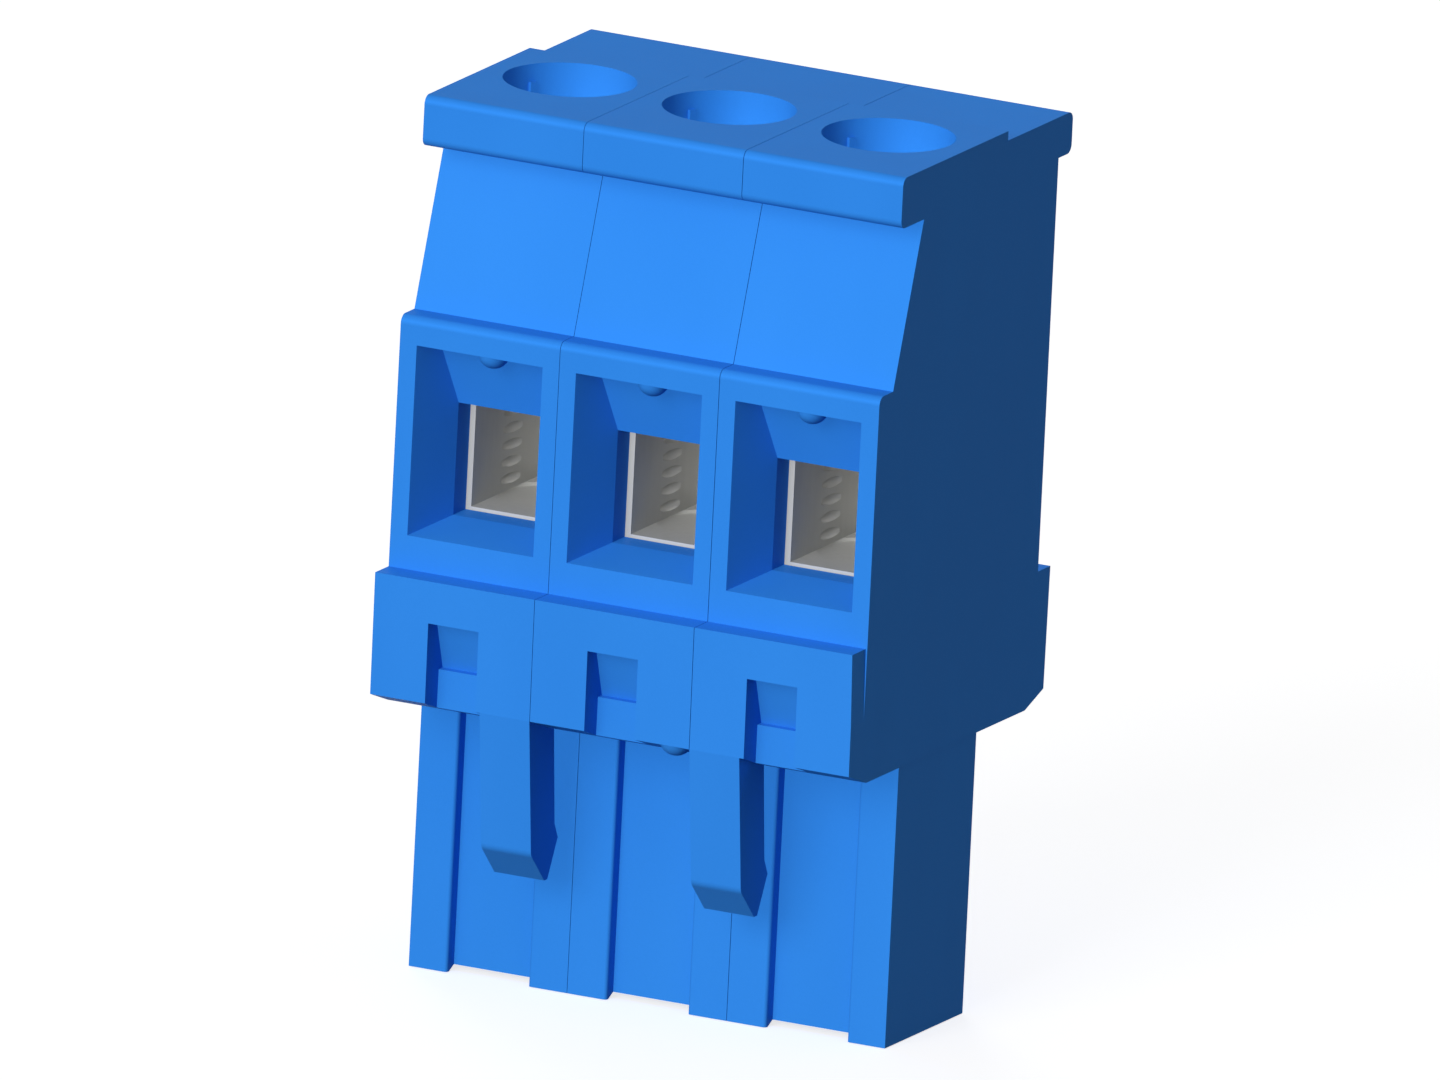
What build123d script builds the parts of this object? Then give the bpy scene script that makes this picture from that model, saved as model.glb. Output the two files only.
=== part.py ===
from build123d import *
import os

# Pluggable terminal block, three poles, screw clamps.
# Millimetres. Z points up from the mating face, X runs along the row of poles and the
# wires enter from the front, at -Y. The origin is on the mating face, on the axis that
# the middle pole's screw and contact share.

# Row of poles
pitch = 5.08
pole_names = ["left", "middle", "right"]
seam_gap = 0.04

# Tongue that plugs into the header
tongue_depth = 4.91
tongue_height = 8.27
tongue_end_inset = 0.04
panel_width = 2.58
panel_recess = 0.44
panel_lift = 0.15
panel_foot_run = 0.30
panel_foot_spread = 0.30
panel_edge_radius = 0.10
tongue_wall_below = 1.20

# Flange
flange_height = 4.00
flange_front_reach = 3.35
flange_back_reach = 4.17
flange_draft = 0.06
flange_chamfer_run = 1.20
flange_chamfer_rise = 0.41
end_relief_depth = 0.05
end_relief_height = 2.10

# Flange notch for the header's catch
notch_width = 1.60
notch_height = 2.77
notch_depth = 0.85
notch_top_depth = 0.56
notch_ramp_depth = 1.10
notch_ledge_height = 1.25

# Latch fingers on the end poles
finger_width = 1.58
finger_drop = 4.63
finger_shank = 1.67
finger_lean = 0.59
finger_toe_rise = 0.93
finger_hook_reach = 1.08
finger_hook_height = 4.82
finger_hook_top_reach = 1.33
finger_hook_top_height = 5.28
finger_toe_reach = 1.82
finger_toe_flat = 0.20
finger_round = 0.35

# Body above the flange
body_back_reach = 3.39
entry_block_reach = 2.50
entry_block_height = 7.39
entry_block_round = 0.25
slope_foot_reach = 1.66
slope_head_reach = 0.21
slope_height = 4.76

# Top plate
plate_front_reach = 1.67
plate_back_reach = 4.19
plate_thickness = 1.50
plate_round = 0.25
plate_step_offset = 0.06
plate_step_drop = 0.28

# Screw clamp
thread_drill_radius = 1.25
cage_wall = 0.70
cage_depth = 4.90
cage_floor = 0.80
cage_head = 2.20
cage_corner_radius = 0.30
cage_clearance = 0.05
cage_seat_height = 0.58
cage_play_above = 0.10
clamp_travel = 3.00
tap_mark_radius = 1.50
tap_mark_depth = 0.10

# Clamping screw
screw_thread_clearance = 0.03
screw_tip_gap = 0.02
screw_tip_chamfer = 0.30
screw_head_height = 1.30
screw_head_clearance = 0.07
screw_head_gap = 0.10
screw_head_chamfer = 0.18
driver_slot_width = 0.70
driver_slot_depth = 0.75

# Driver opening
driver_bore_radius = 1.92
bore_nub_width = 0.22
bore_nub_height = 0.12
bore_nub_top_drop = 0.52
bore_nub_length = 0.45
bore_nub_angle = 150.0

# Wire entry
mouth_width = 4.00
throat_width = 2.80
throat_height = 3.30
throat_length = 0.83
throat_floor_drop = 0.09
mouth_floor_drop = 0.35
mouth_roof_rise = 1.93
mouth_roof_depth = 0.86
roof_nub_radius = 0.46
roof_nub_reach = 0.50
roof_nub_sink = 0.04
roof_nub_offset = 0.21

# Contact
contact_width = 2.30
contact_strip = 0.80
contact_bend = 0.90
busbar_gap = 0.04
busbar_nose_gap = 0.10
cage_window_gap = 0.15
leg_gap = 0.15
contact_clearance = 0.10
lower_run_height = 3.33
fork_top_height = 1.13
fork_width = 1.70
spring_strip = 0.30
spring_half_spread = 0.75
spring_throat_half = 0.56
spring_mouth_half = 0.82
spring_throat_height = 2.60
spring_foot_gap = 0.30
spring_bend = 0.60
fork_free_gap = 0.20

# Pin opening in the mating face
pin_opening = 1.50
pin_lead_in = 0.35
pin_land = 0.20

# Pegs that key neighbouring poles together
peg_radius = 0.70
peg_length = 0.80
peg_end_gap = 0.05
peg_side_gap = 0.02
peg_height = 2.10
front_peg_reach = 0.55
back_peg_reach = 2.20

# Small nub under the flange of the middle pole
flange_nub_radius = 0.50
flange_nub_sink = 0.12
flange_nub_offset = 1.88

# Levels
flange_top = tongue_height + flange_height
entry_block_top = flange_top + entry_block_height
plate_underside = entry_block_top + slope_height
top_level = plate_underside + plate_thickness
rear_top_level = top_level - plate_step_drop
cavity_floor = flange_top + cage_seat_height
cage_bottom = cavity_floor + cage_clearance
wire_floor = cage_bottom + cage_floor
throat_floor = wire_floor - throat_floor_drop
throat_roof = throat_floor + throat_height
mouth_floor = throat_floor - mouth_floor_drop
mouth_roof = throat_roof + mouth_roof_rise
busbar_under = throat_roof + busbar_gap
busbar_top = busbar_under + contact_strip
cage_window_top = busbar_top + cage_window_gap
cage_top = cage_window_top + cage_head
cavity_top = cage_top + clamp_travel + cage_play_above
screw_head_under = cavity_top + screw_head_gap
screw_head_top = screw_head_under + screw_head_height

# Depths, from the contact axis
tongue_front = -tongue_depth / 2
tongue_back = tongue_depth / 2
flange_front = tongue_front - flange_front_reach
flange_back = tongue_back + flange_back_reach
body_back = tongue_back + body_back_reach
block_front = tongue_front - entry_block_reach
plate_front = tongue_front - plate_front_reach
plate_back = tongue_back + plate_back_reach
cage_half_depth = cage_depth / 2
cage_half_width = thread_drill_radius + cage_wall
leg_front = cage_half_depth + leg_gap
throat_front = tongue_front - throat_length
notch_back = flange_front + notch_depth

# Heights inside the flange and the tongue
lower_run = tongue_height + lower_run_height
fork_top = tongue_height + fork_top_height
fork_room_top = fork_top + contact_clearance
fork_half_depth = spring_mouth_half + spring_strip / 2 + fork_free_gap


def block(x_low, x_high, y_low, y_high, z_low, z_high):
    """A box given by its lowest and highest corners."""
    size = Box(x_high - x_low, y_high - y_low, z_high - z_low)
    return Pos((x_low + x_high) / 2, (y_low + y_high) / 2, (z_low + z_high) / 2) * size


def side_face(points):
    """A face in the side view, its points given as (depth, height)."""
    return make_face(Polyline(*points, close=True))


def rounded(face, corners, radius):
    """The face with the corners at these points rounded."""
    chosen = []
    for vertex in face.vertices():
        for corner in corners:
            if abs(vertex.X - corner[0]) < 1e-4 and abs(vertex.Y - corner[1]) < 1e-4:
                chosen.append(vertex)
    return fillet(chosen, radius)


def along_row(face, x_low, x_high):
    """A side view face drawn out along the row of poles."""
    return extrude(Plane.YZ.offset(x_low) * face, x_high - x_low)


def outline(x_low, x_high):
    """The solid outside of one pole: tongue, flange, body, entry block and top plate."""
    chamfer_top = tongue_height + flange_chamfer_rise
    step = tongue_back + plate_step_offset
    block_corner = (block_front, entry_block_top)
    plate_corners = [(plate_front, plate_underside), (plate_front, top_level)]
    plate_corners += [(plate_back, rear_top_level), (plate_back, plate_underside)]
    face = side_face([
        (tongue_front, 0),
        (tongue_front, tongue_height),
        (flange_front + flange_chamfer_run, tongue_height),
        (flange_front + flange_draft, chamfer_top),
        (flange_front, flange_top),
        (block_front, flange_top),
        block_corner,
        (tongue_front - slope_foot_reach, entry_block_top),
        (tongue_front - slope_head_reach, plate_underside),
        plate_corners[0],
        plate_corners[1],
        (step, top_level),
        (step, rear_top_level),
        plate_corners[2],
        plate_corners[3],
        (body_back, plate_underside),
        (body_back, flange_top),
        (flange_back, flange_top),
        (flange_back - flange_draft, chamfer_top),
        (flange_back - flange_chamfer_run, tongue_height),
        (tongue_back, tongue_height),
        (tongue_back, 0),
    ])
    face = rounded(face, [block_corner], entry_block_round)
    face = rounded(face, plate_corners, plate_round)
    return along_row(face, x_low, x_high)


def panel_recess_cut():
    """The shallow panel between the ribs on the tongue's front, and the raised edge below it."""
    half = panel_width / 2
    face = make_face(Polyline(
        (-half - panel_edge_radius, tongue_front - panel_recess),
        (-half - panel_edge_radius, tongue_front),
        (-half, tongue_front),
        (-half, tongue_front + panel_recess),
        (half, tongue_front + panel_recess),
        (half, tongue_front),
        (half + panel_edge_radius, tongue_front),
        (half + panel_edge_radius, tongue_front - panel_recess),
        close=True,
    ))
    face = rounded(face, [(-half, tongue_front), (half, tongue_front)], panel_edge_radius * 0.99)
    panel = tongue_front + panel_recess
    land_front = -pin_opening / 2 - pin_lead_in - pin_land
    foot = side_face([
        (panel - panel_foot_run, 0),
        (panel, panel_lift),
        (land_front, panel_lift),
        (land_front, 0),
    ])
    reach = half + panel_foot_spread
    return extrude(face, tongue_height) + along_row(foot, -reach, reach)


def notch_cut():
    """The notch in the flange's front, with its ramp and ledge."""
    ledge = tongue_height + notch_ledge_height
    notch_top = tongue_height + notch_height
    front = flange_front - notch_depth
    face = side_face([
        (front, tongue_height - notch_depth),
        (front, notch_top),
        (flange_front + notch_top_depth, notch_top),
        (flange_front + notch_ramp_depth, ledge),
        (notch_back, ledge),
        (notch_back, tongue_height - notch_depth),
    ])
    return along_row(face, -notch_width / 2, notch_width / 2)


def wire_entry_cut():
    """The funnel for a wire, and the straight throat behind it."""
    mouth_half = mouth_width / 2
    throat_half = throat_width / 2
    plan = make_face(Polyline(
        (-mouth_half, block_front),
        (-throat_half, throat_front),
        (throat_half, throat_front),
        (mouth_half, block_front),
        close=True,
    ))
    section = side_face([
        (block_front, mouth_floor),
        (block_front, mouth_roof),
        (block_front + mouth_roof_depth, mouth_roof),
        (throat_front, throat_roof),
        (throat_front, throat_floor),
    ])
    funnel = extrude(Pos(0, 0, mouth_floor) * plan, mouth_roof - mouth_floor)
    funnel &= along_row(section, -mouth_half, mouth_half)
    passage = block(-throat_half, throat_half, throat_front, 0, throat_floor, throat_roof)
    return funnel + passage


def cavity_cut():
    """The room for the cage, and the channels that hold the contact."""
    half_width = cage_half_width + cage_clearance
    half_depth = cage_half_depth + cage_clearance
    cage_room = block(-half_width, half_width, -half_depth, half_depth, cavity_floor, cavity_top)
    spare = 2 * contact_clearance
    channel = strip(contact_line(), contact_strip + spare, contact_bend, contact_width + spare)
    side = fork_width / 2 + contact_clearance
    fork_room = block(-side, side, -fork_half_depth, fork_half_depth, tongue_wall_below, fork_room_top)
    return cage_room + channel + fork_room


def pin_opening_cut():
    """The square hole for the header's pin, with its lead-in."""
    wide = pin_opening + 2 * pin_lead_in
    lead_in = loft([Rectangle(wide, wide), Pos(0, 0, pin_lead_in) * Rectangle(pin_opening, pin_opening)])
    half = pin_opening / 2
    return lead_in + block(-half, half, -half, half, 0, tongue_wall_below)


def driver_bore_cut():
    """The round opening above the screw."""
    height = top_level - cavity_top
    bore = Cylinder(driver_bore_radius, height, align=(Align.CENTER, Align.CENTER, Align.MIN))
    return Pos(0, 0, cavity_top) * bore


def bore_nub():
    """The nub in the driver opening that keeps the screw from falling out."""
    width = bore_nub_height * 2
    nub = Box(width, bore_nub_width, bore_nub_length, align=(Align.CENTER, Align.CENTER, Align.MAX))
    nub = Pos(driver_bore_radius, 0, top_level - bore_nub_top_drop) * nub
    return Rot(0, 0, bore_nub_angle) * nub


def roof_nub():
    """The round nub that hangs from the flat front of the funnel's roof."""
    centre = Pos(roof_nub_offset, block_front + roof_nub_reach, mouth_roof + roof_nub_sink)
    return centre * Sphere(roof_nub_radius)


def flange_nub():
    """The small nub under the front of the middle pole's flange."""
    front = flange_front + flange_draft
    height = tongue_height + flange_chamfer_rise + flange_nub_sink
    ball = Pos(flange_nub_offset, front + flange_nub_radius, height) * Sphere(flange_nub_radius)
    keep = block(-pitch / 2, pitch / 2 - seam_gap / 2, front, flange_back, 0, flange_top)
    return ball & keep


def latch_finger(x_low, x_high):
    """A springy finger below the flange, with the hook that holds the header."""
    toe_height = finger_drop - finger_toe_rise
    root_height = tongue_height + flange_chamfer_rise
    knee = (flange_front + finger_lean, finger_drop)
    inner = flange_front + finger_shank
    face = side_face([
        (flange_front + flange_draft, root_height),
        knee,
        (tongue_front - finger_toe_reach, toe_height),
        (tongue_front - finger_toe_reach + finger_toe_flat, toe_height),
        (tongue_front - finger_hook_reach, finger_hook_height),
        (tongue_front - finger_hook_top_reach, finger_hook_top_height),
        (inner, tongue_height),
        (inner, root_height),
    ])
    face = rounded(face, [knee], finger_round)
    return along_row(face, x_low, x_high)


def end_relief():
    """The thin wedge taken off the right end of the flange, in front of the body."""
    edge = pitch / 2
    face = make_face(Polyline(
        (edge - end_relief_depth, flange_top),
        (edge + end_relief_depth, flange_top),
        (edge + end_relief_depth, flange_top - end_relief_height),
        (edge, flange_top - end_relief_height),
        close=True,
    ))
    return extrude(Plane.XZ.offset(-block_front) * face, block_front - flange_front)


def seam_pegs(radius, length):
    """Two round pegs, front and back, that stand out from x = 0 towards +X."""
    peg = Rot(0, 90, 0) * Cylinder(radius, length, align=(Align.CENTER, Align.CENTER, Align.MIN))
    height = tongue_height + peg_height
    front = Pos(0, block_front + front_peg_reach + peg_radius, height) * peg
    back = Pos(0, tongue_back + back_peg_reach, height) * peg
    return front + back


def pole_housing(place, last):
    """One pole's moulded housing, about its own axis."""
    at_left_end = place == 0
    at_right_end = place == last
    half = pitch / 2
    x_low = -half if at_left_end else -half + seam_gap / 2
    x_high = half if at_right_end else half - seam_gap / 2
    body = outline(x_low, x_high)
    if at_left_end:
        body += latch_finger(x_high - finger_width, x_high)
        body -= block(-half, tongue_end_inset - half, tongue_front, tongue_back, 0, tongue_height)
    if at_right_end:
        body += latch_finger(x_low, x_low + finger_width)
        body -= end_relief()
        body -= block(half - tongue_end_inset, half, tongue_front, tongue_back, 0, tongue_height)
    body -= panel_recess_cut()
    body -= notch_cut()
    body -= driver_bore_cut()
    body -= cavity_cut()
    body -= wire_entry_cut()
    body -= pin_opening_cut()
    body += bore_nub()
    body += roof_nub()
    if not at_left_end and not at_right_end:
        body += flange_nub()
    if not at_right_end:
        body += Pos(x_high, 0, 0) * seam_pegs(peg_radius, peg_length + seam_gap)
    if not at_left_end:
        socket = seam_pegs(peg_radius + peg_side_gap, peg_length + peg_end_gap)
        body -= Pos(x_low, 0, 0) * socket
    return body


def clamp_cage():
    """The metal cage that rises and grips the wire."""
    width = 2 * cage_half_width
    height = cage_top - cage_bottom
    sleeve = Box(width, cage_depth, height, align=(Align.CENTER, Align.CENTER, Align.MIN))
    sleeve = fillet(sleeve.edges().filter_by(Axis.Y), cage_corner_radius)
    sleeve = Pos(0, 0, cage_bottom) * sleeve
    reach = cage_half_depth
    inner = thread_drill_radius
    sleeve -= block(-inner, inner, -reach, reach, wire_floor, cage_window_top)
    tapped = Cylinder(thread_drill_radius, cage_head, align=(Align.CENTER, Align.CENTER, Align.MIN))
    sleeve -= Pos(0, 0, cage_window_top) * tapped
    mark = Cylinder(tap_mark_radius, tap_mark_depth, align=(Align.CENTER, Align.CENTER, Align.MIN))
    sleeve -= Pos(0, 0, wire_floor - tap_mark_depth) * mark
    return sleeve


def clamp_screw():
    """The slotted screw, its tip on the contact's clamping bar."""
    shank_radius = thread_drill_radius - screw_thread_clearance
    tip = busbar_top + screw_tip_gap
    head_radius = driver_bore_radius - screw_head_clearance
    face = make_face(Polyline(
        (0, tip),
        (shank_radius - screw_tip_chamfer, tip),
        (shank_radius, tip + screw_tip_chamfer),
        (shank_radius, screw_head_under),
        (head_radius, screw_head_under),
        (head_radius, screw_head_top - screw_head_chamfer),
        (head_radius - screw_head_chamfer, screw_head_top),
        (0, screw_head_top),
        close=True,
    ))
    screw = revolve(Plane.XZ * face, Axis.Z)
    slot = block(
        -head_radius, head_radius, -driver_slot_width / 2, driver_slot_width / 2,
        screw_head_top - driver_slot_depth, screw_head_top,
    )
    return screw - slot


def strip(points, thickness, bend, width):
    """A strip of this thickness bent along a line in the side view."""
    line = FilletPolyline(*points, radius=bend)
    return along_row(trace(line, thickness), -width / 2, width / 2)


def contact_line():
    """The middle line of the contact's strip, from the clamping bar's nose to the fork."""
    bar_height = busbar_under + contact_strip / 2
    leg = leg_front + contact_strip / 2
    nose = -cage_half_depth + busbar_nose_gap
    return [(nose, bar_height), (leg, bar_height), (leg, lower_run), (0, lower_run), (0, fork_top)]


def contact():
    """The contact: clamping bar, leg behind the cage and the spring fork for the pin."""
    bar = strip(contact_line(), contact_strip, contact_bend, contact_width)
    yoke_half = spring_half_spread + spring_strip / 2
    yoke = block(
        -fork_width / 2, fork_width / 2, -yoke_half, yoke_half,
        fork_top - contact_strip, fork_top,
    )
    spring_root = fork_top - contact_strip
    foot = tongue_wall_below + spring_foot_gap
    body = bar + yoke
    for side in (-1, 1):
        body += strip(
            [
                (side * spring_half_spread, spring_root),
                (side * spring_half_spread, (spring_root + spring_throat_height) / 2),
                (side * spring_throat_half, spring_throat_height),
                (side * spring_mouth_half, foot),
            ],
            spring_strip, spring_bend, fork_width,
        )
    return body


def write(shape, name):
    """Write one piece to its own file."""
    export_step(shape, "parts/" + name + ".step")


os.makedirs("parts", exist_ok=True)
last_place = len(pole_names) - 1
for place, pole in enumerate(pole_names):
    centre = Pos((place - last_place / 2) * pitch, 0, 0)
    write(centre * pole_housing(place, last_place), "pole_housing_" + pole)
    write(centre * clamp_cage(), "clamp_cage_" + pole)
    write(centre * clamp_screw(), "clamp_screw_" + pole)
    write(centre * contact(), "contact_" + pole)
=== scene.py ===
import logging
import math
from dataclasses import dataclass, field
from enum import Enum
from typing import Sequence, Union

import bpy
from mathutils import Matrix, Vector


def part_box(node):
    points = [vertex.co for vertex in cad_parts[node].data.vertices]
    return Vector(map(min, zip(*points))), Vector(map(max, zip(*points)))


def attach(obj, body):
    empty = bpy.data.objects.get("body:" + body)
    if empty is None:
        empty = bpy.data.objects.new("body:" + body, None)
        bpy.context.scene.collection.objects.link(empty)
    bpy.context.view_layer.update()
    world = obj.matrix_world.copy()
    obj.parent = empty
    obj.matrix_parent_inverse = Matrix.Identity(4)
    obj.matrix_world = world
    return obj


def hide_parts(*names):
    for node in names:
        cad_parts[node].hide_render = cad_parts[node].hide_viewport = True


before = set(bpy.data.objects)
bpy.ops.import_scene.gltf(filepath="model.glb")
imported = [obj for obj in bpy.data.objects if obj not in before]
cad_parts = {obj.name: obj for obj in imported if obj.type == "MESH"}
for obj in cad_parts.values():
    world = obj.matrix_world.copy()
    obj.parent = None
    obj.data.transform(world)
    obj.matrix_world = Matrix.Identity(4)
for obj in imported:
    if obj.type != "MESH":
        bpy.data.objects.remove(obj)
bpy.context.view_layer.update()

MM = 0.001

# How thick a cage's floor is, and how far above it a thread's crest passes the left side.
CAGE_FLOOR = 0.8 * MM
THREAD_START = 0.325 * MM

# Points this close are one point, and faces are told apart by their centres in these steps.
MERGE_DISTANCE = 1e-7
STEPS_PER_METRE = 1e7

# How close to a cutting plane a point counts as lying on it.
CUT_TOLERANCE = 1e-8

# The middle of a noise's range, and how strongly its finer octaves show.
NOISE_MIDDLE = 0.5
NOISE_ROUGHNESS = 0.55

# The sockets of a Mix node that mixes colours.
MIX_FACTOR, MIX_LOW, MIX_HIGH, MIX_RESULT = 0, 6, 7, 2

log = logging.getLogger("terminal_block")

Number = Union[int, float]
Colour = tuple[float, float, float]


class Pole(Enum):
    """The three poles, by the words that end their nodes' names."""

    LEFT = "left"
    MIDDLE = "middle"
    RIGHT = "right"


class Slot(Enum):
    """Names of material slots for the pieces that replace a node; the script does not use them."""

    HOUSING = "moulded_housing"
    CAGE = "plated_cage"
    SCREW = "plated_screw"


class Signal:
    """A socket of a shader tree that takes Python's operators and adds the Math nodes for them."""

    def __init__(self, tree: bpy.types.NodeTree, socket: bpy.types.NodeSocket) -> None:
        """Wrap one socket.

        Args:
            tree: The node tree that the socket is in.
            socket: The socket.
        """
        self.tree = tree
        self.socket = socket

    def _math(
        self, operation: str, first: "Signal | Number", second: "Signal | Number"
    ) -> "Signal":
        """Add one Math node.

        Args:
            operation: The Math node's operation.
            first: The first operand.
            second: The second operand.

        Returns:
            The node's output.
        """
        node = self.tree.nodes.new("ShaderNodeMath")
        node.operation = operation
        for place, operand in enumerate((first, second)):
            if isinstance(operand, Signal):
                self.tree.links.new(operand.socket, node.inputs[place])
            else:
                node.inputs[place].default_value = operand
        return Signal(self.tree, node.outputs[0])

    def __add__(self, other: "Signal | Number") -> "Signal":
        """Sum."""
        return self._math("ADD", self, other)

    def __radd__(self, other: Number) -> "Signal":
        """Sum, the number first."""
        return self._math("ADD", other, self)

    def __sub__(self, other: "Signal | Number") -> "Signal":
        """Difference."""
        return self._math("SUBTRACT", self, other)

    def __rsub__(self, other: Number) -> "Signal":
        """Difference, the number first."""
        return self._math("SUBTRACT", other, self)

    def __mul__(self, other: "Signal | Number") -> "Signal":
        """Product."""
        return self._math("MULTIPLY", self, other)

    def __rmul__(self, other: Number) -> "Signal":
        """Product, the number first."""
        return self._math("MULTIPLY", other, self)

    def swing(self, weight: float, middle: float = NOISE_MIDDLE) -> "Signal":
        """How far the value is above or below its middle, times a weight."""
        return (self - middle) * weight

    def larger(self, other: "Signal | Number") -> "Signal":
        """The larger of two values."""
        return self._math("MAXIMUM", self, other)

    def clamped(self) -> "Signal":
        """The value held between 0 and 1."""
        return self._math("MINIMUM", self.larger(0.0), 1.0)


Feed = Union[Signal, Number, Sequence[float]]


class ShaderTree:
    """A node tree that is built by calls, with one method that makes any node."""

    def __init__(self, owner: "bpy.types.Material | bpy.types.World") -> None:
        """Empty the owner's tree.

        Args:
            owner: The material or world whose nodes are written.
        """
        owner.use_nodes = True
        self.tree = owner.node_tree
        self.tree.nodes.clear()

    def node(
        self,
        kind: str,
        settings: "dict[str, object] | None" = None,
        feeds: "dict[Union[str, int], Feed] | None" = None,
        output: Union[str, int] = 0,
    ) -> Signal:
        """Add one node.

        Args:
            kind: The node's type, without the ShaderNode in front.
            settings: The node's own settings, such as an operation.
            feeds: The values or links of its sockets, by name or place.
            output: The output that the returned signal stands for.

        Returns:
            The chosen output, or the first input of a node that has no output.
        """
        node = self.tree.nodes.new("ShaderNode" + kind)
        for name, value in (settings or {}).items():
            setattr(node, name, value)
        for name, value in (feeds or {}).items():
            socket = node.inputs[name]
            if isinstance(value, Signal):
                self.tree.links.new(value.socket, socket)
            else:
                socket.default_value = value
        return Signal(self.tree, node.outputs[output] if node.outputs else node.inputs[0])

    def noise(
        self, scale: float, detail: float, stretch: Sequence[float] = (1.0, 1.0, 1.0)
    ) -> Signal:
        """Noise over the object's own coordinates.

        Args:
            scale: How many features there are in a metre.
            detail: How many finer octaves are added.
            stretch: How much finer the noise is along each axis.

        Returns:
            The noise, from 0 to 1.
        """
        place = self.node("TexCoord", output="Object")
        mapped = self.node("Mapping", feeds={"Vector": place, "Scale": tuple(stretch)})
        return self.node(
            "TexNoise",
            feeds={
                "Vector": mapped,
                "Scale": scale,
                "Detail": detail,
                "Roughness": NOISE_ROUGHNESS,
            },
        )

    def mixed(self, factor: Signal, low: Colour, high: Colour) -> Signal:
        """A colour between two others.

        Args:
            factor: 0 gives the first colour and 1 the second.
            low: The first colour.
            high: The second colour.

        Returns:
            The mixed colour.
        """
        return self.node(
            "Mix",
            settings={"data_type": "RGBA"},
            feeds={MIX_FACTOR: factor, MIX_LOW: (*low, 1.0), MIX_HIGH: (*high, 1.0)},
            output=MIX_RESULT,
        )

    def coat(self, height: Signal, relief: float, depth: float, feeds: "dict[str, Feed]") -> None:
        """Close the tree with a relief, a Principled shader and the output.

        Args:
            height: The relief's height, from 0 to 1.
            relief: How strongly the relief shows.
            depth: How deep the relief is.
            feeds: The shader's other values and links.
        """
        bump = self.node("Bump", feeds={"Strength": relief, "Distance": depth, "Height": height})
        self.surface(self.node("BsdfPrincipled", feeds={**feeds, "Normal": bump}))

    def surface(self, shader: Signal) -> None:
        """Send a shader to the material's output."""
        self.node("OutputMaterial", feeds={"Surface": shader})


@dataclass(frozen=True)
class MouldedPlastic:
    """Moulded polyamide with a fine eroded texture and slight flow marks."""

    name: str
    colour: Colour
    pale: Colour
    roughness: float = 0.52
    specular: float = 0.01
    refraction: float = 1.5
    gleam: float = 0.08
    grain_per_metre: float = 16000.0
    grain_detail: float = 2.0
    grain_shade: float = 0.25
    grain_dulling: float = 0.16
    grain_relief: float = 0.55
    grain_height: float = 0.0000035
    flow_per_metre: float = 160.0
    flow_detail: float = 3.0
    flow_stretch: Sequence[float] = (1.0, 1.0, 0.35)
    flow_shade: float = 0.9
    flow_dulling: float = 0.10

    def build(self) -> bpy.types.Material:
        """Make the material.

        Returns:
            The material.
        """
        material = bpy.data.materials.new(self.name)
        tree = ShaderTree(material)
        flow = tree.noise(self.flow_per_metre, self.flow_detail, self.flow_stretch)
        grain = tree.noise(self.grain_per_metre, self.grain_detail)
        shade = flow.swing(self.flow_shade) + grain.swing(self.grain_shade) + NOISE_MIDDLE
        colour = tree.mixed(shade.clamped(), self.colour, self.pale)
        rough = grain.swing(self.grain_dulling) + flow.swing(self.flow_dulling) + self.roughness
        tree.coat(
            grain,
            self.grain_relief,
            self.grain_height,
            {
                "Base Color": colour,
                "Metallic": self.gleam,
                "Roughness": rough.clamped(),
                "IOR": self.refraction,
                "Specular IOR Level": self.specular,
            },
        )
        return material


@dataclass(frozen=True)
class PlatedMetal:
    """Plated metal with drawing lines, small stains and a soft gloss."""

    name: str
    colour: Colour
    stain: Colour
    roughness: float
    metallic: float
    stain_per_metre: float = 420.0
    stain_detail: float = 4.0
    stain_level: float = 0.45
    stain_shade: float = 1.6
    stain_dulling: float = 0.16
    line_per_metre: float = 5200.0
    line_detail: float = 3.0
    line_stretch: Sequence[float] = (1.0, 1.0, 0.08)
    line_shade: float = 0.5
    line_dulling: float = 0.22
    line_relief: float = 0.5
    line_height: float = 0.000002

    def build(self) -> bpy.types.Material:
        """Make the material.

        Returns:
            The material.
        """
        material = bpy.data.materials.new(self.name)
        tree = ShaderTree(material)
        lines = tree.noise(self.line_per_metre, self.line_detail, self.line_stretch)
        stains = tree.noise(self.stain_per_metre, self.stain_detail)
        shade = stains.swing(self.stain_shade, self.stain_level) + lines.swing(self.line_shade)
        colour = tree.mixed(shade.clamped(), self.colour, self.stain)
        rough = lines.swing(self.line_dulling) + stains.swing(self.stain_dulling) + self.roughness
        tree.coat(
            lines,
            self.line_relief,
            self.line_height,
            {"Base Color": colour, "Metallic": self.metallic, "Roughness": rough.clamped()},
        )
        return material


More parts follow.
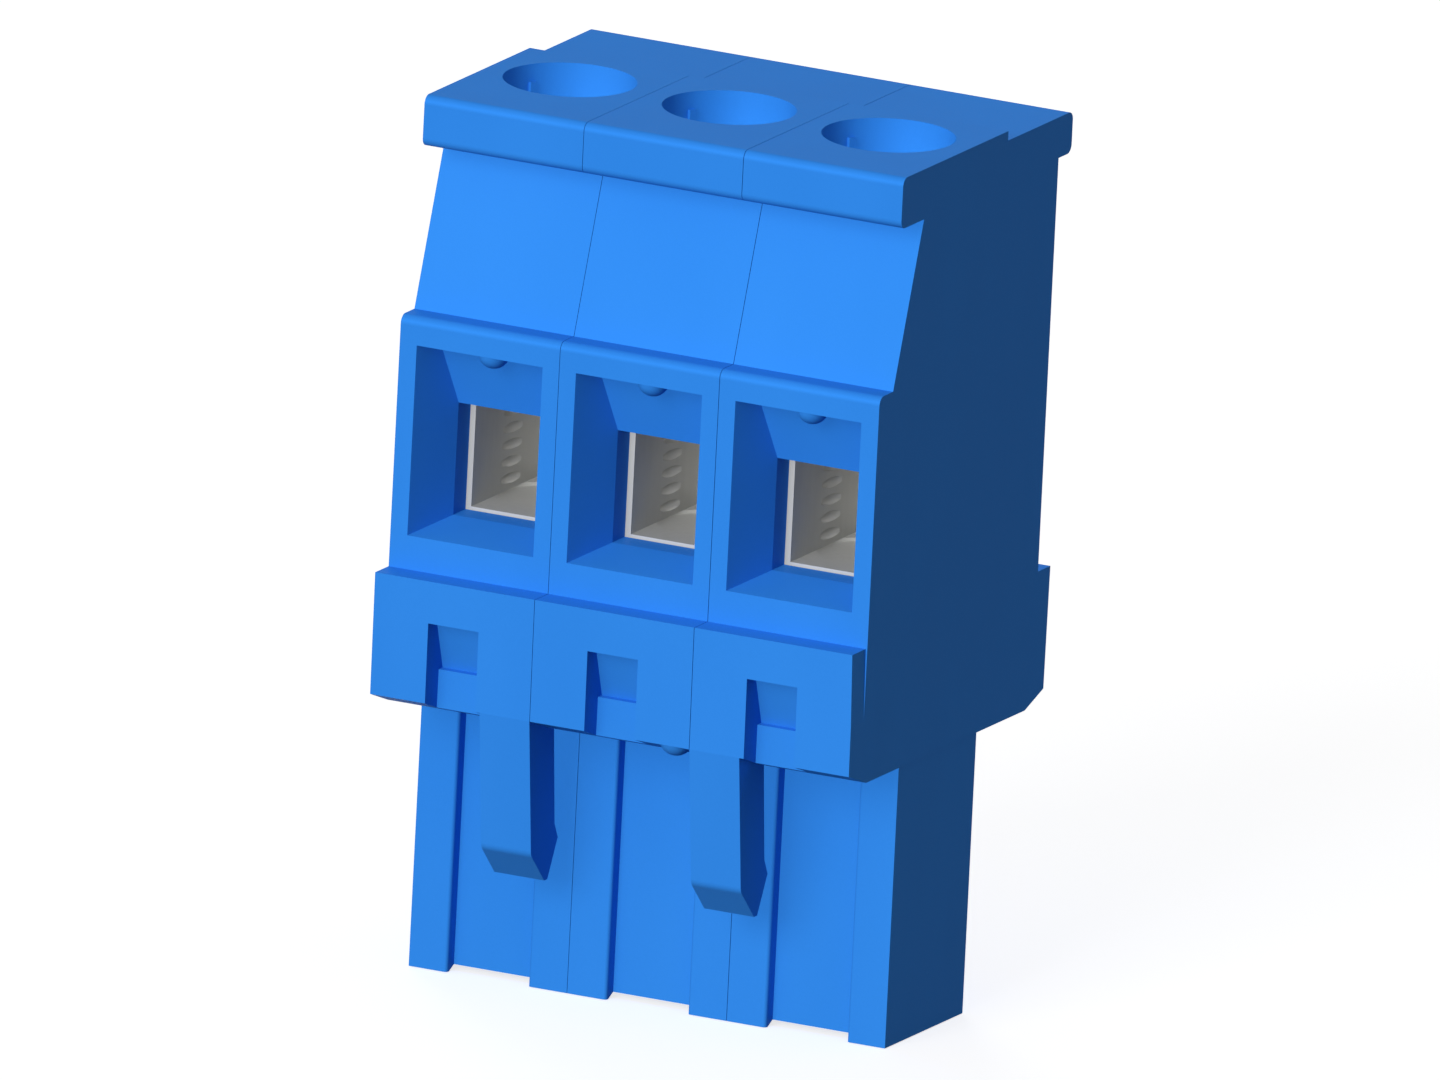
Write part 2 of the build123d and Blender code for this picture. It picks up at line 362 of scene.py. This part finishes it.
@dataclass(frozen=True)
class TurnedMetal:
    """Plated metal turned on a lathe: rings about an upright axis, and small stains."""

    name: str
    colour: Colour
    stain: Colour
    axis_x: float
    roughness: float = 0.30
    metallic: float = 1.0
    stain_per_metre: float = 500.0
    stain_detail: float = 4.0
    stain_level: float = 0.45
    stain_shade: float = 1.4
    stain_dulling: float = 0.15
    rings_per_metre: float = 9000.0
    ring_detail: float = 2.0
    ring_shade: float = 0.25
    ring_dulling: float = 0.08
    ring_relief: float = 0.25
    ring_height: float = 0.0000015

    def build(self) -> bpy.types.Material:
        """Make the material.

        Returns:
            The material.
        """
        material = bpy.data.materials.new(self.name)
        tree = ShaderTree(material)
        rings = self._rings(tree)
        stains = tree.noise(self.stain_per_metre, self.stain_detail)
        shade = stains.swing(self.stain_shade, self.stain_level) + rings.swing(self.ring_shade)
        colour = tree.mixed(shade.clamped(), self.colour, self.stain)
        rough = rings.swing(self.ring_dulling) + stains.swing(self.stain_dulling) + self.roughness
        tree.coat(
            rings,
            self.ring_relief,
            self.ring_height,
            {"Base Color": colour, "Metallic": self.metallic, "Roughness": rough.clamped()},
        )
        return material

    def _rings(self, tree: ShaderTree) -> Signal:
        """Noise over the distance from the screw's own axis.

        Args:
            tree: The material's tree.

        Returns:
            The noise, from 0 to 1.
        """
        place = tree.node("TexCoord", output="Object")
        from_axis = tree.node(
            "Mapping",
            feeds={
                "Vector": place,
                "Location": (-self.axis_x, 0.0, 0.0),
                "Scale": (1.0, 1.0, 0.0),
            },
        )
        radius = tree.node(
            "VectorMath",
            settings={"operation": "LENGTH"},
            feeds={0: from_axis},
            output="Value",
        )
        return tree.node(
            "TexNoise",
            settings={"noise_dimensions": "1D"},
            feeds={"W": radius * self.rings_per_metre, "Scale": 1.0, "Detail": self.ring_detail},
        )


def grey(level: float) -> tuple[float, float, float, float]:
    """An opaque grey."""
    return (level, level, level, 1.0)


def select_only(piece: bpy.types.Object) -> None:
    """Deselect all, then select one object and make it active.

    Args:
        piece: The object to select.
    """
    bpy.ops.object.select_all(action="DESELECT")
    piece.select_set(True)
    bpy.context.view_layer.objects.active = piece


def dress(piece: bpy.types.Object, material: bpy.types.Material) -> None:
    """Give a piece one material.

    Args:
        piece: The piece.
        material: Its only material.
    """
    piece.data.materials.clear()
    piece.data.materials.append(material)


def copy_of(node: str, name: str) -> bpy.types.Object:
    """A copy of a CAD node's mesh in an object of its own.

    Args:
        node: The CAD node.
        name: The copy's name.

    Returns:
        The copy, at the origin and without a parent.
    """
    piece = bpy.data.objects.new(name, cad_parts[node].data.copy())
    bpy.context.scene.collection.objects.link(piece)
    return piece


def merge_doubles(piece: bpy.types.Object) -> None:
    """Make one point of the points that lie on each other.

    Args:
        piece: The piece.
    """
    select_only(piece)
    bpy.ops.object.mode_set(mode="EDIT")
    bpy.ops.mesh.select_all(action="SELECT")
    bpy.ops.mesh.remove_doubles(threshold=MERGE_DISTANCE)
    bpy.ops.object.mode_set(mode="OBJECT")


def apply_modifier(piece: bpy.types.Object, modifier: bpy.types.Modifier) -> None:
    """Apply one of a piece's modifiers."""
    select_only(piece)
    bpy.ops.object.modifier_apply(modifier=modifier.name)


def combine(piece: bpy.types.Object, tool: bpy.types.Object, operation: str) -> None:
    """Apply one Boolean to a piece and remove the tool.

    Args:
        piece: The piece that is changed.
        tool: The closed solid that acts on it.
        operation: UNION or DIFFERENCE.
    """
    modifier = piece.modifiers.new("combine", "BOOLEAN")
    modifier.operation = operation
    modifier.solver = "EXACT"
    modifier.object = tool
    apply_modifier(piece, modifier)
    bpy.data.objects.remove(tool)


def corner_spot(mesh: bpy.types.Mesh, corner: int) -> Vector:
    """The place of one of a mesh's face corners."""
    return mesh.vertices[mesh.loops[corner].vertex_index].co


def thread_datum(pole: Pole) -> float:
    """The height at which a thread's crest passes its left side, the same for screw and cage.

    Args:
        pole: The pole.

    Returns:
        The height at rest.
    """
    low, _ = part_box("clamp_cage_" + pole.value)
    return low.z + CAGE_FLOOR + THREAD_START


@dataclass
class ThreadedRod:
    """A closed rod with a right-hand 60 degree thread, used as a screw's shank or as a tap."""

    axis_x: float
    z_low: float
    z_high: float
    datum: float
    minor_radius: float
    major_radius: float
    pitch: float = 0.5 * MM
    root_share: float = 0.25
    flank_angle: float = math.radians(30.0)
    spare_turns: int = 2
    steps: int = 40

    def build(self, name: str) -> bpy.types.Object:
        """Make the rod.

        Args:
            name: The object's name.

        Returns:
            The closed rod, placed by its vertices.
        """
        rod = self._profile(name)
        self._wind(rod)
        self._trim(rod)
        rod.data.transform(Matrix.Translation((self.axis_x, 0.0, 0.0)))
        return rod

    def _chain(self) -> list[tuple[float, float]]:
        """One turn's profile: root, flank, crest and flank.

        Returns:
            The radius and height of each of its points, from the bottom up.
        """
        middle = self.pitch / 2
        half_root = self.pitch * self.root_share / 2
        flank = (self.major_radius - self.minor_radius) * math.tan(self.flank_angle)
        half_crest = middle - half_root - flank
        return [
            (self.minor_radius, -half_root),
            (self.minor_radius, half_root),
            (self.major_radius, middle - half_crest),
            (self.major_radius, middle + half_crest),
            (self.minor_radius, self.pitch - half_root),
        ]

    def _profile(self, name: str) -> bpy.types.Object:
        """The profile as a chain of edges, a few turns below the rod's low end.

        Args:
            name: The object's name.

        Returns:
            The open chain.
        """
        chain = self._chain()
        closing_edge = {0, len(chain) - 1}
        bpy.ops.object.select_all(action="DESELECT")
        bpy.ops.mesh.primitive_circle_add(
            vertices=len(chain), radius=self.major_radius, fill_type="NOTHING"
        )
        rod = bpy.context.active_object
        rod.name = name
        bpy.ops.object.mode_set(mode="EDIT")
        bpy.ops.mesh.select_mode(type="EDGE")
        bpy.ops.mesh.select_all(action="DESELECT")
        bpy.ops.object.mode_set(mode="OBJECT")
        for edge in rod.data.edges:
            edge.select = set(edge.vertices) == closing_edge
        bpy.ops.object.mode_set(mode="EDIT")
        bpy.ops.mesh.delete(type="EDGE_FACE")
        bpy.ops.object.mode_set(mode="OBJECT")
        turns_up = math.floor((self.z_low - self.datum) / self.pitch)
        start = self.datum + (turns_up - self.spare_turns) * self.pitch
        for vertex, (radius, height) in zip(rod.data.vertices, chain):
            vertex.co = (radius, 0.0, start + height)
        return rod

    def _wind(self, rod: bpy.types.Object) -> None:
        """Wind the profile up along the axis, with turns to spare at both ends.

        Args:
            rod: The chain, which becomes an open thread.
        """
        length_in_turns = math.ceil((self.z_high - self.z_low) / self.pitch)
        winding = rod.modifiers.new("winding", "SCREW")
        winding.axis = "Z"
        winding.angle = math.tau
        winding.screw_offset = self.pitch
        winding.iterations = length_in_turns + 2 * self.spare_turns + 1
        winding.steps = self.steps
        winding.render_steps = self.steps
        winding.use_merge_vertices = True
        apply_modifier(rod, winding)
        merge_doubles(rod)

    def _trim(self, rod: bpy.types.Object) -> None:
        """Cut both ends flat and close them.

        Args:
            rod: The open thread.
        """
        select_only(rod)
        bpy.ops.object.mode_set(mode="EDIT")
        for height, lower in ((self.z_low, True), (self.z_high, False)):
            bpy.ops.mesh.select_all(action="SELECT")
            bpy.ops.mesh.bisect(
                plane_co=(0.0, 0.0, height),
                plane_no=(0.0, 0.0, 1.0),
                use_fill=True,
                clear_inner=lower,
                clear_outer=not lower,
                threshold=CUT_TOLERANCE,
            )
        bpy.ops.mesh.select_all(action="SELECT")
        bpy.ops.mesh.normals_make_consistent(inside=False)
        bpy.ops.object.mode_set(mode="OBJECT")


@dataclass
class PoleHousing:
    """One moulded pole housing, pressed against its neighbours."""

    pole: Pole
    finish: bpy.types.Material
    seam_closing: float = 0.013 * MM

    def build(self) -> bpy.types.Object:
        """Draw the seams close and put the housing in its node's place.

        Returns:
            The housing.
        """
        node = "pole_housing_" + self.pole.value
        piece = self._merged_copy(node)
        self._close_seams(piece, node)
        dress(piece, self.finish)
        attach(piece, "housing")
        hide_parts(node)
        return piece

    def _merged_copy(self, node: str) -> bpy.types.Object:
        """A copy of the node's mesh, its doubles merged and its shading kept.

        Args:
            node: The CAD node.

        Returns:
            The copy.
        """
        piece = copy_of(node, "moulded_housing_" + self.pole.value)
        weld = piece.modifiers.new("weld", "WELD")
        weld.merge_threshold = MERGE_DISTANCE
        apply_modifier(piece, weld)
        self._restore_shading(piece.data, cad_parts[node].data)
        return piece

    def _restore_shading(self, mesh: bpy.types.Mesh, source: bpy.types.Mesh) -> None:
        """Give each face of a merged mesh the corner normals that it has in its source.

        Args:
            mesh: The merged mesh.
            source: The loose triangles that it was merged from.
        """
        shading = {}
        for face in source.polygons:
            shading[self._place(face.center)] = [
                (corner_spot(source, corner), source.corner_normals[corner].vector)
                for corner in face.loop_indices
            ]
        normals = []
        for face in mesh.polygons:
            corners = shading.get(self._place(face.center))
            for corner in face.loop_indices:
                normal = face.normal
                if corners:
                    spot = corner_spot(mesh, corner)
                    _, normal = min(corners, key=lambda pair: (pair[0] - spot).length)
                normals.append(normal.copy())
        mesh.normals_split_custom_set(normals)

    def _place(self, centre: Vector) -> tuple[int, ...]:
        """A face's centre in whole steps, as a key."""
        return tuple(round(part * STEPS_PER_METRE) for part in centre)

    def _close_seams(self, piece: bpy.types.Object, node: str) -> None:
        """Stretch the housing sideways towards its neighbours, and not past the ends of the row.

        Args:
            piece: The housing.
            node: Its CAD node, whose box gives its two sides.
        """
        low, high = (corner.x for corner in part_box(node))
        to_left = 0.0 if self.pole is Pole.LEFT else self.seam_closing
        to_right = 0.0 if self.pole is Pole.RIGHT else self.seam_closing
        width = high - low
        stretch = (width + to_left + to_right) / width
        fixed = (low * to_right + high * to_left) / (to_left + to_right)
        select_only(piece)
        bpy.ops.object.mode_set(mode="EDIT")
        bpy.ops.mesh.select_all(action="SELECT")
        bpy.ops.transform.resize(value=(stretch, 1.0, 1.0), center_override=(fixed, 0.0, 0.0))
        bpy.ops.object.mode_set(mode="OBJECT")


@dataclass
class ClampCage:
    """A clamp cage with the tap's marks cut through its head and side walls."""

    pole: Pole
    finish: bpy.types.Material
    tap_minor_radius: float = 1.2 * MM
    tap_major_radius: float = 1.40 * MM
    tap_end: float = 0.06 * MM
    tap_over: float = 0.2 * MM

    def build(self) -> bpy.types.Object:
        """Cut the thread and put the cage in its node's place.

        Returns:
            The cage.
        """
        node = "clamp_cage_" + self.pole.value
        low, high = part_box(node)
        piece = copy_of(node, "tapped_cage_" + self.pole.value)
        merge_doubles(piece)
        tap = ThreadedRod(
            axis_x=(low.x + high.x) / 2,
            z_low=low.z + CAGE_FLOOR + self.tap_end,
            z_high=high.z + self.tap_over,
            datum=thread_datum(self.pole),
            minor_radius=self.tap_minor_radius,
            major_radius=self.tap_major_radius,
        ).build("tap")
        combine(piece, tap, "DIFFERENCE")
        dress(piece, self.finish)
        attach(piece, "cage_" + self.pole.value)
        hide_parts(node)
        return piece


@dataclass
class ClampScrew:
    """A slotted screw whose shank carries its thread."""

    pole: Pole
    finish: bpy.types.Material
    minor_radius: float = 1.19 * MM
    major_radius: float = 1.385 * MM
    tip_length: float = 0.45 * MM
    head_height: float = 1.3 * MM
    neck_length: float = 0.25 * MM

    def build(self) -> bpy.types.Object:
        """Cut the thread and put the screw in its node's place.

        Returns:
            The screw.
        """
        node = "clamp_screw_" + self.pole.value
        low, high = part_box(node)
        piece = copy_of(node, "threaded_screw_" + self.pole.value)
        merge_doubles(piece)
        shank = ThreadedRod(
            axis_x=(low.x + high.x) / 2,
            z_low=low.z + self.tip_length,
            z_high=high.z - self.head_height - self.neck_length,
            datum=thread_datum(self.pole),
            minor_radius=self.minor_radius,
            major_radius=self.major_radius,
        ).build("shank")
        combine(piece, shank, "UNION")
        dress(piece, self.finish)
        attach(piece, "screw_" + self.pole.value)
        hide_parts(node)
        return piece


@dataclass
class Contact:
    """A contact: the CAD solid and its tin."""

    pole: Pole
    finish: bpy.types.Material

    def build(self) -> bpy.types.Object:
        """Dress the node.

        Returns:
            The node's object.
        """
        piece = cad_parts["contact_" + self.pole.value]
        dress(piece, self.finish)
        return piece


@dataclass
class TerminalBlock:
    """The whole block: three poles with their housings, cages, screws and contacts."""

    pitch: float = 5.08 * MM

    def build(self) -> list[bpy.types.Object]:
        """Build and dress every piece.

        Returns:
            The pieces, pole by pole.
        """
        plastic = MouldedPlastic(
            "blue_polyamide", colour=(0.024, 0.213, 0.72), pale=(0.036, 0.265, 0.84)
        ).build()
        zinc = PlatedMetal(
            "zinc_plated_steel",
            colour=(0.63, 0.63, 0.60),
            stain=(0.55, 0.55, 0.53),
            roughness=0.45,
            metallic=0.25,
        ).build()
        tin = PlatedMetal(
            "tin_plated_copper",
            colour=(0.70, 0.69, 0.66),
            stain=(0.60, 0.59, 0.56),
            roughness=0.42,
            metallic=0.60,
            line_height=0.0000008,
        ).build()
        middle = len(Pole) // 2
        pieces = []
        for place, pole in enumerate(Pole):
            turned = TurnedMetal(
                "turned_zinc_" + pole.value,
                colour=(0.70, 0.70, 0.69),
                stain=(0.54, 0.55, 0.56),
                axis_x=(place - middle) * self.pitch,
            ).build()
            pieces.append(PoleHousing(pole, plastic).build())
            pieces.append(ClampCage(pole, zinc).build())
            pieces.append(ClampScrew(pole, turned).build())
            pieces.append(Contact(pole, tin).build())
        return pieces


@dataclass
class Studio:
    """The floor, the lamps, the world and the camera."""

    azimuth: float = 26.0
    elevation: float = 14.62
    roll: float = 2.85
    aim: Vector = field(default_factory=lambda: Vector((-1.107, 3.053, 12.385)) * MM)
    frame_width: float = 40.90 * MM
    distance: float = 0.2
    clip_near: float = 0.1
    clip_far: float = 10.0
    floor_size: float = 4.0
    floor_gap: float = 0.02 * MM
    floor_tone: float = 0.86
    floor_glow: float = 0.49
    floor_bounce: float = 0.10
    key_direction: Vector = field(default_factory=lambda: Vector((-0.10, -0.90, 0.41)))
    key_strength: float = 0.6
    lamp_spread: float = math.radians(30.0)
    fill_strength: float = 2.35
    fill_bounces: int = 1
    back_direction: Vector = field(default_factory=lambda: Vector((-0.66, 0.75, 0.02)))
    back_strength: float = 2.3
    ambient: float = 0.20
    backdrop: float = 1.0

    def build(self) -> None:
        """Set up everything round the object."""
        self._view_settings()
        self._floor()
        self._lamps()
        self._world()
        self._camera()

    def _view_settings(self) -> None:
        """Show colours as they are written."""
        bpy.context.scene.view_settings.view_transform = "Standard"

    def _floor(self) -> None:
        """A pale floor that shows white, keeps the object's shadow and sends little light up.

        It lies just under the object, because two faces in one plane show as one or the other,
        and it is clear from below.
        """
        bpy.ops.object.select_all(action="DESELECT")
        bpy.ops.mesh.primitive_plane_add(
            size=self.floor_size, location=(0.0, 0.0, -self.floor_gap)
        )
        floor = bpy.context.active_object
        floor.name = "floor"
        material = bpy.data.materials.new("pale_floor")
        tree = ShaderTree(material)
        lit = tree.node("BsdfDiffuse", feeds={"Color": grey(self.floor_tone)})
        glow = tree.node(
            "Emission", feeds={"Color": grey(1.0), "Strength": self.floor_glow}
        )
        shown = tree.node("AddShader", feeds={0: lit, 1: glow})
        bounce = tree.node("BsdfDiffuse", feeds={"Color": grey(self.floor_bounce)})
        seen = self._background_rays(tree)
        surface = tree.node("MixShader", feeds={0: seen, 1: bounce, 2: shown})
        below = tree.node("NewGeometry", output="Backfacing")
        clear = tree.node("BsdfTransparent")
        tree.surface(tree.node("MixShader", feeds={0: below, 1: surface, 2: clear}))
        dress(floor, material)

    def _background_rays(self, tree: ShaderTree) -> Signal:
        """Tell the rays that see the background: from the camera, in gloss and through glass.

        Args:
            tree: The tree of the floor or the world.

        Returns:
            1 for those rays and 0 for the rest.
        """
        camera = tree.node("LightPath", output="Is Camera Ray")
        glossy = tree.node("LightPath", output="Is Glossy Ray")
        through = tree.node("LightPath", output="Is Transmission Ray")
        return camera.larger(glossy).larger(through)

    def _lamps(self) -> None:
        """A key lamp from the upper left front, a shadowless fill with it, and a lamp behind."""
        self._sun("key_lamp", self.key_direction, self.key_strength)
        fill = self._sun("fill_lamp", self.key_direction, self.fill_strength)
        fill.data.use_shadow = False
        fill.data.cycles.max_bounces = self.fill_bounces
        back = self._sun("back_lamp", self.back_direction, self.back_strength)
        back.visible_glossy = False

    def _sun(self, name: str, towards: Vector, strength: float) -> bpy.types.Object:
        """Add one distant lamp.

        Args:
            name: The lamp's name.
            towards: The direction from the object to the lamp.
            strength: Its strength.

        Returns:
            The lamp.
        """
        bpy.ops.object.select_all(action="DESELECT")
        bpy.ops.object.light_add(type="SUN")
        lamp = bpy.context.active_object
        lamp.name = name
        lamp.data.energy = strength
        lamp.data.angle = self.lamp_spread
        lamp.rotation_mode = "QUATERNION"
        lamp.rotation_quaternion = towards.to_track_quat("Z", "Y")
        return lamp

    def _world(self) -> None:
        """A grey surround for light, white where it is seen."""
        world = bpy.data.worlds.new("surround")
        bpy.context.scene.world = world
        tree = ShaderTree(world)
        light = tree.node("Background", feeds={"Color": grey(1.0), "Strength": self.ambient})
        seen = tree.node("Background", feeds={"Color": grey(1.0), "Strength": self.backdrop})
        mixed = tree.node(
            "MixShader", feeds={0: self._background_rays(tree), 1: light, 2: seen}
        )
        tree.node("OutputWorld", feeds={"Surface": mixed})

    def _camera(self) -> None:
        """The photograph's view, which is a parallel projection."""
        azimuth, elevation = math.radians(self.azimuth), math.radians(self.elevation)
        back = Vector((
            math.sin(azimuth) * math.cos(elevation),
            -math.cos(azimuth) * math.cos(elevation),
            math.sin(elevation),
        ))
        bpy.ops.object.select_all(action="DESELECT")
        bpy.ops.object.camera_add(location=self.aim + back * self.distance)
        camera = bpy.context.active_object
        camera.name = "camera"
        camera.rotation_mode = "QUATERNION"
        level = (-back).to_track_quat("-Z", "Y")
        turn = Matrix.Rotation(math.radians(self.roll), 4, back).to_quaternion()
        camera.rotation_quaternion = turn @ level
        camera.data.type = "ORTHO"
        camera.data.ortho_scale = self.frame_width
        camera.data.clip_start = self.distance * self.clip_near
        camera.data.clip_end = self.distance * self.clip_far
        bpy.context.scene.camera = camera


def main() -> None:
    """Build the block, report each piece, and set up the studio."""
    logging.basicConfig(level=logging.INFO, format="%(name)s: %(message)s")
    for piece in TerminalBlock().build():
        log.info("%s: %d faces", piece.name, len(piece.data.polygons))
    Studio().build()


if __name__ == "__main__":
    main()
